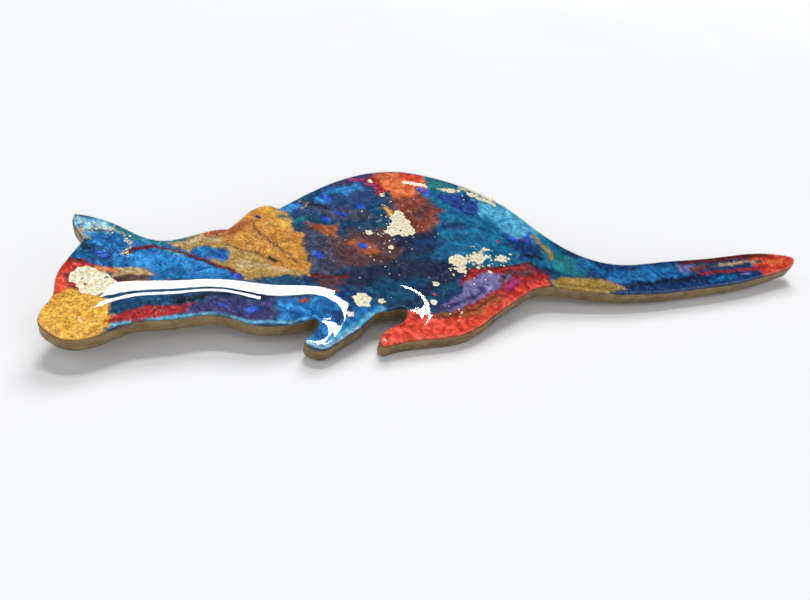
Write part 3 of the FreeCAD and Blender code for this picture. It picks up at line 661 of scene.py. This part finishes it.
def bronze_material():
    """Bronze paint brushed over fine-grained board, rubbed darker in its low places."""
    material, tree, output = new_material("bronze_paint")
    place = millimetres(tree)
    strokes = node(
        tree,
        "ShaderNodeTexNoise",
        {"Vector": millimetres(tree, (0.35, 0.35, 4.0)), "Scale": 1.2, "Detail": 6.0, "Roughness": 0.6},
    )
    blotch = node(tree, "ShaderNodeTexNoise", {"Vector": place, "Scale": 0.45, "Detail": 4.0})
    specks = node(tree, "ShaderNodeTexVoronoi", {"Vector": place, "Scale": 5.0})
    speck = node(tree, "ShaderNodeSeparateColor", {0: specks.outputs["Color"]}).outputs[0]
    colour = blend(
        tree,
        ramp(tree, blotch.outputs["Fac"], 0.35, 0.65),
        linear(114, 92, 60),
        linear(152, 128, 88),
    )
    colour = blend(tree, ramp(tree, strokes.outputs["Fac"], 0.45, 0.7, 0.0, 0.55), colour, linear(66, 48, 32))
    colour = blend(tree, ramp(tree, speck, 0.9, 0.99, 0.0, 0.3), colour, linear(204, 176, 118))
    bump = node(
        tree, "ShaderNodeBump", {"Height": strokes.outputs["Fac"], "Strength": 0.5, "Distance": 0.0001}
    )
    shader = node(
        tree,
        "ShaderNodeBsdfPrincipled",
        {
            "Base Color": colour,
            "Metallic": 0.4,
            "Roughness": ramp(tree, strokes.outputs["Fac"], 0.3, 0.7, 0.38, 0.6),
            "Normal": bump.outputs[0],
        },
    )
    tree.links.new(shader.outputs[0], output.inputs["Surface"])
    return material


def leaf_material():
    """Thin crinkled metal leaf, pale gold, deeper gold in the crinkles' hollows and paler on their crests:
    partly the leaf's own tone, partly painted shade.
    """
    material, tree, output = new_material("metal_leaf")
    place = millimetres(tree)
    crease = node(tree, "ShaderNodeTexNoise", {"Vector": place, "Scale": 3.0, "Detail": 4.0})
    # partly painted shade: darker where the bump has its hollows, paler on its crests
    colour = blend(
        tree, ramp(tree, crease.outputs["Fac"], 0.34, 0.54), linear(228, 196, 124), linear(255, 253, 228)
    )
    bump = node(
        tree, "ShaderNodeBump", {"Height": crease.outputs["Fac"], "Strength": 0.8, "Distance": 0.00006}
    )
    shader = node(
        tree,
        "ShaderNodeBsdfPrincipled",
        {
            "Base Color": colour,
            "Metallic": 0.1,
            "Roughness": ramp(tree, crease.outputs["Fac"], 0.3, 0.7, 0.5, 0.28),
            "Normal": bump.outputs[0],
        },
    )
    tree.links.new(shader.outputs[0], output.inputs["Surface"])
    return material


def steel_material(name, tint, roughness, scratches):
    """Bright metal with fine scratches along the bar and a few dull patches."""
    material, tree, output = new_material(name)
    lines = node(
        tree,
        "ShaderNodeTexNoise",
        {"Vector": millimetres(tree, (0.15, 6.0, 6.0)), "Scale": 3.0, "Detail": 5.0},
    )
    dull = node(tree, "ShaderNodeTexNoise", {"Vector": millimetres(tree), "Scale": 0.6, "Detail": 4.0})
    colour = blend(tree, ramp(tree, dull.outputs["Fac"], 0.5, 0.75, 0.0, 0.6), tint, linear(168, 160, 148))
    bump = node(
        tree, "ShaderNodeBump", {"Height": lines.outputs["Fac"], "Strength": scratches, "Distance": 0.00004}
    )
    shader = node(
        tree,
        "ShaderNodeBsdfPrincipled",
        {
            "Base Color": colour,
            "Metallic": 1.0,
            "Roughness": ramp(tree, lines.outputs["Fac"], 0.3, 0.7, roughness, roughness + 0.18),
            "Normal": bump.outputs[0],
        },
    )
    tree.links.new(shader.outputs[0], output.inputs["Surface"])
    return material


def epoxy_material():
    """Cured two-part glue, clear amber with a few bubbles."""
    material, tree, output = new_material("epoxy")
    place = millimetres(tree)
    bubbles = node(tree, "ShaderNodeTexVoronoi", {"Vector": place, "Scale": 1.6})
    cloud = node(tree, "ShaderNodeTexNoise", {"Vector": place, "Scale": 0.8, "Detail": 3.0})
    colour = blend(
        tree, ramp(tree, cloud.outputs["Fac"], 0.35, 0.65), linear(206, 186, 136), linear(228, 214, 176)
    )
    colour = blend(
        tree, ramp(tree, bubbles.outputs["Distance"], 0.1, 0.16, 0.7, 0.0), colour, linear(250, 246, 232)
    )
    shader = node(
        tree,
        "ShaderNodeBsdfPrincipled",
        {"Base Color": colour, "Roughness": 0.16, "Transmission Weight": 0.25, "IOR": 1.5},
    )
    tree.links.new(shader.outputs[0], output.inputs["Surface"])
    return material


def floor_material():
    """Plain pale paper, very slightly mottled."""
    material, tree, output = new_material("pale_paper")
    mottle = node(tree, "ShaderNodeTexNoise", {"Vector": millimetres(tree), "Scale": 0.02, "Detail": 3.0})
    colour = blend(tree, mottle.outputs["Fac"], linear(244, 244, 246), linear(250, 250, 251))
    shader = node(tree, "ShaderNodeBsdfPrincipled", {"Base Color": colour, "Roughness": 0.7})
    tree.links.new(shader.outputs[0], output.inputs["Surface"])
    return material


# ---------------------------------------------------------------- the pieces
outline = evenly(top_loops("enamel_layer", COLOUR_TOP)[0], OUTLINE_STEP)


def drawn_in(loop, inset):
    """The loop moved inwards, without the points that cross over at tight corners."""
    moved = loop - loop_normals(loop) * inset
    return moved[distances(moved, loop) > 0.93 * inset]


def make_board(material):
    """The cut board, with its edges eased by the paint."""
    loop = drawn_in(outline, EASE)
    rings = [
        (-0.7 * EASE, -0.3 * EASE),
        (-EASE, -EASE),
        (-EASE, BOARD_BACK + EASE),
        (-0.7 * EASE, BOARD_BACK + 0.3 * EASE),
        (0.0, BOARD_BACK),
    ]
    vertices, polygons = slab(loop, NO_POINTS, 0.0, rings)
    return piece("board", vertices, polygons, material, "brooch", ["backing_plate"])


def make_colour(material):
    """The poured layer, painted point by point and very slightly uneven."""
    loop = drawn_in(outline, LIP)

    def uneven(points, faces, rim):
        return COLOUR_TOP - 0.03 + 0.03 * rough(points, 1.4, 3, 2.5)

    vertices, polygons = slab(loop, lattice(loop, COLOUR_STEP), uneven, [(0.0, 0.0)])
    obj = piece("colour", vertices, polygons, material, "brooch", ["enamel_layer"])
    colours = poured_colour(vertices[:, :2])
    layer = obj.data.color_attributes.new("pigment", "FLOAT_COLOR", "POINT")
    layer.data.foreach_set("color", colours.ravel())
    return obj


def meniscus(points, faces, rim):
    """Height of the cured resin: a skin pinned at the rim that swells towards its full height.

    It is a screened Poisson equation on the triangles, solved by Jacobi steps.
    """
    corners = np.array(faces)
    starts, ends, pulls = [], [], []
    areas = np.zeros(len(points))
    for first in range(3):
        tip, one, two = (corners[:, (first + step) % 3] for step in range(3))
        to_one, to_two = points[one] - points[tip], points[two] - points[tip]
        cross = np.abs(to_one[:, 0] * to_two[:, 1] - to_one[:, 1] * to_two[:, 0]) + 1e-9
        cotangent = (to_one * to_two).sum(1) / cross / 2
        starts += [one, two]
        ends += [two, one]
        pulls += [cotangent, cotangent]
        areas += np.bincount(tip, cross / 6, len(points))
    starts, ends, pulls = (np.concatenate(parts) for parts in (starts, ends, pulls))
    weight = areas / MENISCUS_LENGTH**2
    total = np.bincount(starts, pulls, len(points)) + weight
    fall = np.exp(-distances(points, outline) / MENISCUS_LENGTH)
    heights = RESIN_CROWN + (RESIN_RIM - RESIN_CROWN) * fall
    for _ in range(MENISCUS_ROUNDS):
        heights = np.bincount(starts, pulls * heights[ends], len(points))
        heights = (heights + weight * RESIN_CROWN) / total
        heights[rim] = RESIN_RIM
    return heights


def make_dome(material):
    """The domed resin, rounded over at its rim."""
    loop = drawn_in(outline, LIP + RIM_ROUND)
    rings = [
        (-RIM_ROUND * math.sin(angle), RESIN_RIM - RIM_ROUND * (1 - math.cos(angle)))
        for angle in (0.45, 0.9, 1.3, math.pi / 2)
    ]
    rings.append((-RIM_ROUND, RESIN_UNDER))
    vertices, polygons = slab(loop, lattice(loop, DOME_STEP), meniscus, rings)
    return piece("dome", vertices, polygons, material, "brooch", ["resin_dome"])


def shards(loop, step, ragged, dice):
    """Crinkled leaf as small flat shards, each leaned its own way, with a few missing."""
    edge = evenly(loop, step)
    edge = edge + loop_normals(edge) * np.array([[dice.uniform(-ragged, ragged)] for _ in edge])
    inner = lattice(edge, step)
    if len(inner):
        inner = inner + np.array([[dice.uniform(-0.3, 0.3) * step for _ in "uv"] for _ in inner])
    places, faces, _ = triangulate(edge, inner)
    vertices, polygons = [], []
    for face in faces:
        if dice.random() < SHARD_GAPS:
            continue
        middle = places[list(face)].mean(0)
        lean = np.array([dice.uniform(-SHARD_LEAN, SHARD_LEAN) for _ in range(2)])
        height = dice.uniform(LEAF_LOW + 0.01, LEAF_HIGH - 0.01)
        first = len(vertices)
        for depth in (0.0, -SHARD_THICKNESS):
            for corner in face:
                away = (places[corner] - middle) * SHARD_SHRINK
                vertices.append((*(middle + away), height + away @ lean * SHARD_LIFT + depth))
        a, b, c, d, e, f = range(first, first + 6)
        polygons += [(a, b, c), (f, e, d), (a, d, e, b), (b, e, f, c), (c, f, d, a)]
    return vertices, polygons


def make_leaf(name, step, ragged, seed, material, specks=()):
    """One CAD leaf node as crinkled shards, with loose specks scattered about it.

    Each of specks is a place in u and v, how far they spread, their count, and the largest one's size.
    """
    dice = random.Random(seed)
    loops = top_loops(name, 0.35)
    for middle_u, middle_v, spread, count, largest in specks:
        for _ in range(count):
            place = (dice.gauss(middle_u, spread), dice.gauss(middle_v, spread))
            size = dice.uniform(0.3, 1.0) * largest
            start = dice.uniform(0, math.tau)
            angles = [start + corner * QUARTER_TURN for corner in range(4)]
            loops.append(np.array([
                (place[0] + size * math.cos(angle) * dice.uniform(0.5, 1.2),
                 place[1] + size * math.sin(angle) * dice.uniform(0.5, 1.2))
                for angle in angles
            ]))
    vertices, polygons = [], []
    for loop in loops:
        wide = np.ptp(loop, axis=0).max()
        made = shards(loop, min(step, wide / 2.2), min(ragged, wide / 8), dice)
        polygons += [tuple(corner + len(vertices) for corner in polygon) for polygon in made[1]]
        vertices += made[0]
    mesh_name = name.replace("leaf_", "gilt_")
    return piece(mesh_name, vertices, polygons, material, "brooch", [name], smooth=False)


materials = {
    "bronze": bronze_material(),
    "mica": mica_material(),
    "resin": resin_material(),
    "leaf": leaf_material(),
    "nickel": steel_material("nickel_steel", linear(206, 203, 198), 0.24, 0.5),
    "wire": steel_material("pin_steel", linear(222, 222, 220), 0.12, 0.25),
    "epoxy": epoxy_material(),
}
make_board(materials["bronze"])
make_colour(materials["mica"])
make_leaf("leaf_cheek", 0.42, 0.2, 3, materials["leaf"], [(-51.5, 14.5, 0.5, 6, 0.24)])
make_leaf(
    "leaf_flank",
    0.42,
    0.32,
    5,
    materials["leaf"],
    [(-10, 22, 2.2, 26, 0.22), (-13.5, 21.2, 0.6, 6, 0.24)],
)
make_leaf(
    "leaf_haunch",
    0.4,
    0.3,
    7,
    materials["leaf"],
    [
        (-3.4, 13.6, 0.7, 26, 0.5),
        (-1.2, 14.6, 0.9, 30, 0.5),
        (1.6, 15.0, 0.9, 24, 0.5),
        (4.6, 14.2, 0.6, 10, 0.45),
        (-0.5, 14.2, 2.4, 30, 0.24),
    ],
)
make_leaf(
    "leaf_back_edge",
    0.4,
    0.25,
    9,
    materials["leaf"],
    [(3, 30.5, 1.5, 16, 0.24), (7.4, 27.5, 0.9, 14, 0.3), (5.4, 29.2, 0.7, 14, 0.3)],
)
make_leaf(
    "leaf_crumbs",
    0.36,
    0.2,
    11,
    materials["leaf"],
    [
        (-54.4, 24.0, 0.35, 10, 0.28),
        (-51.2, 23.9, 0.5, 14, 0.2),
        (-49.2, 21.6, 0.35, 10, 0.22),
        (-49.6, 19.2, 0.3, 8, 0.2),
        (-9.5, 28.5, 2.4, 12, 0.2),
        (-15, 20.5, 2.6, 16, 0.2),
        (-7, 5.2, 1.0, 8, 0.35),
        (-13, 15, 3.0, 16, 0.2),
        (-41.5, 20.8, 1.2, 14, 0.18),
    ],
)
for name, key in {
    "glue_bed": "epoxy",
    "bar_base": "nickel",
    "hinge_rivet": "nickel",
    "pin_stem": "wire",
    "catch_housing": "nickel",
    "safety_roller": "nickel",
}.items():
    mesh = frame["nodes"][name].data
    mesh.materials.clear()
    mesh.materials.append(materials[key])
make_dome(materials["resin"])


# ---------------------------------------------------------------- floor, light and camera
def make_floor():
    """A wide pale sheet under the brooch."""
    half = 3.0
    mesh = bpy.data.meshes.new("floor")
    corners = [(-half, -half, 0), (half, -half, 0), (half, half, 0), (-half, half, 0)]
    mesh.from_pydata(corners, [], [(0, 1, 2, 3)])
    mesh.materials.append(floor_material())
    floor = bpy.data.objects.new("floor", mesh)
    bpy.context.scene.collection.objects.link(floor)


def panel(name, east, north, heading, length, breadth, radiance, mirrored=True):
    """A far rectangular light.

    east and north give its direction, as parts of a unit vector. heading is the way its length runs, in
    degrees. length and breadth are its size for each metre of distance.
    """
    away = Vector((east, north, math.sqrt(1 - east**2 - north**2)))
    along = Vector((math.cos(math.radians(heading)), math.sin(math.radians(heading)), 0))
    along = (along - along.dot(away) * away).normalized()
    light = bpy.data.lights.new(name, "AREA")
    light.shape = "RECTANGLE"
    light.size, light.size_y = length * LAMP_DISTANCE, breadth * LAMP_DISTANCE
    light.energy = radiance * math.pi * light.size * light.size_y
    lamp = bpy.data.objects.new(name, light)
    bpy.context.scene.collection.objects.link(lamp)
    axes = Matrix((along, away.cross(along), away)).transposed()
    lamp.matrix_world = Matrix.Translation(away * LAMP_DISTANCE) @ axes.to_4x4()
    lamp.visible_glossy = mirrored


def make_world():
    """Pale surroundings, but dim high up behind the brooch, where the flat resin mirrors them."""
    world = bpy.data.worlds.new("studio")
    bpy.context.scene.world = world
    world.use_nodes = True
    tree = world.node_tree
    direction = node(tree, "ShaderNodeTexCoord").outputs["Generated"]
    toward = node(
        tree, "ShaderNodeVectorMath", {0: direction, 1: (0.34, 0.52, 0.78)}, operation="DOT_PRODUCT"
    )
    light = ramp(tree, toward.outputs["Value"], 0.25, 0.7, 1.0, 0.03)
    tree.nodes["Background"].inputs["Color"].default_value = (0.96, 0.98, 1.0, 1.0)
    tree.links.new(light, tree.nodes["Background"].inputs["Strength"])


def make_camera():
    """Above and in front of the cat's throat, close, looking across towards the rump."""
    place = board @ Vector((-48.0, -54.2, 75.9))
    target = board @ Vector((-13.33, 7.99, 0.0))
    roll = 7.46
    camera = bpy.data.cameras.new("camera")
    camera.lens = 740 / 810 * 36
    camera.clip_start = 0.005
    eye = bpy.data.objects.new("camera", camera)
    bpy.context.scene.collection.objects.link(eye)
    eye.location = place
    aim = (target - place).to_track_quat("-Z", "Y").to_matrix()
    eye.rotation_mode = "QUATERNION"
    eye.rotation_quaternion = (aim @ Matrix.Rotation(math.radians(roll), 3, "Z")).to_quaternion()
    bpy.context.scene.camera = eye


make_floor()
make_world()
panel("strip", 0.08, 0.312, -22, 0.336, 0.07, 30)
panel("strip_edge", 0.02, 0.263, -20, 0.2, 0.026, 30)
panel("strip_end", 0.25, 0.226, -30, 0.11, 0.034, 30)
panel("glint", 0.38, 0.645, 0, 0.06, 0.04, 14)
panel("window", 0.30, 0.62, 0, 0.5, 0.4, 7.6, mirrored=False)
make_camera()
bpy.context.scene.view_settings.view_transform = "Standard"
